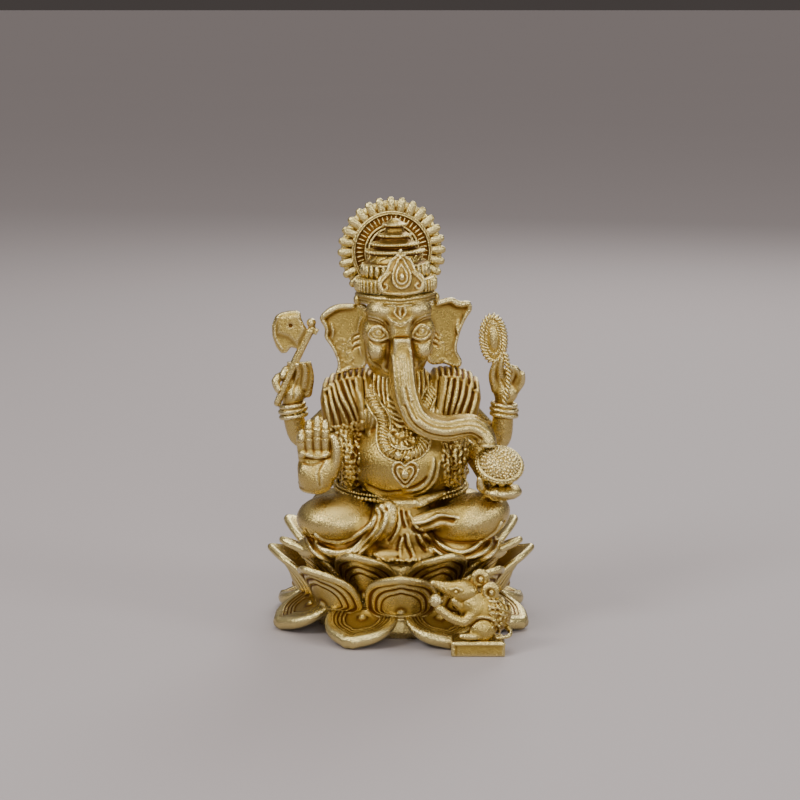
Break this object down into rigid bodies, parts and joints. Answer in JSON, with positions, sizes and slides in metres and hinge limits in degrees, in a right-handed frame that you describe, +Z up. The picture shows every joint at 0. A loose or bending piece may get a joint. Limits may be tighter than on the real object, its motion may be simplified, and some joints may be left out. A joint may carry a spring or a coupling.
{
  "type": "seated deity statuette",
  "caption": "Satin gold statuette of an elephant-headed deity seated on a lotus base, with halo, crown, axe, noose, bowl of sweets, and a mouse on a small plinth.",
  "frame": {"origin": "centre of the lotus core's flat underside, on the surface the statuette stands on", "axes": "+Z up; -Y the way the deity faces; +X to the viewer's right, which is the deity's left"},
  "size_m": [0.0528, 0.0559, 0.0848],
  "materials": {
    "cast_gold": "satin gold casting with fine speckled grain and warm recesses",
    "pale_gold": "the same gold, paler where it is raised and rubbed",
    "deep_gold": "the same gold, darker and warmer in folds and undersides"
  },
  "bodies": {
    "root": {"lower_petal_1": "cast_gold", "lower_petal_2": "cast_gold", "lower_petal_3": "cast_gold", "lower_petal_4": "cast_gold", "lower_petal_5": "cast_gold", "lower_petal_6": "cast_gold", "lower_petal_7": "cast_gold", "lower_petal_8": "cast_gold", "upper_petal_1": "cast_gold", "upper_petal_2": "cast_gold", "upper_petal_3": "cast_gold", "upper_petal_4": "cast_gold", "upper_petal_5": "cast_gold", "upper_petal_6": "cast_gold", "upper_petal_7": "cast_gold", "upper_petal_8": "cast_gold", "inner_petal_1": "cast_gold", "inner_petal_2": "cast_gold", "inner_petal_3": "cast_gold", "inner_petal_4": "cast_gold", "inner_petal_5": "cast_gold", "inner_petal_6": "cast_gold", "inner_petal_7": "cast_gold", "inner_petal_8": "cast_gold", "plinth": "cast_gold", "right_leg": "cast_gold", "left_leg": "cast_gold", "torso": "cast_gold", "crown": "cast_gold", "skull": "cast_gold", "halo": "cast_gold", "noose": "cast_gold", "bowl": "cast_gold", "front_right_arm": "cast_gold", "rear_right_arm": "cast_gold", "front_left_arm": "cast_gold", "rear_left_arm": "cast_gold", "garland": "cast_gold", "mouse_body": "cast_gold", "mouse_head": "cast_gold", "crown_crest": "pale_gold", "trunk": "pale_gold", "right_ear": "pale_gold", "left_ear": "pale_gold", "axe": "pale_gold", "sweets": "pale_gold", "pendant": "pale_gold", "mouse_sweet": "pale_gold", "lotus_core": "deep_gold", "crown_band": "deep_gold", "right_shawl": "deep_gold", "left_shawl": "deep_gold", "lap_cloth": "deep_gold"}
  },
  "joints": []
}
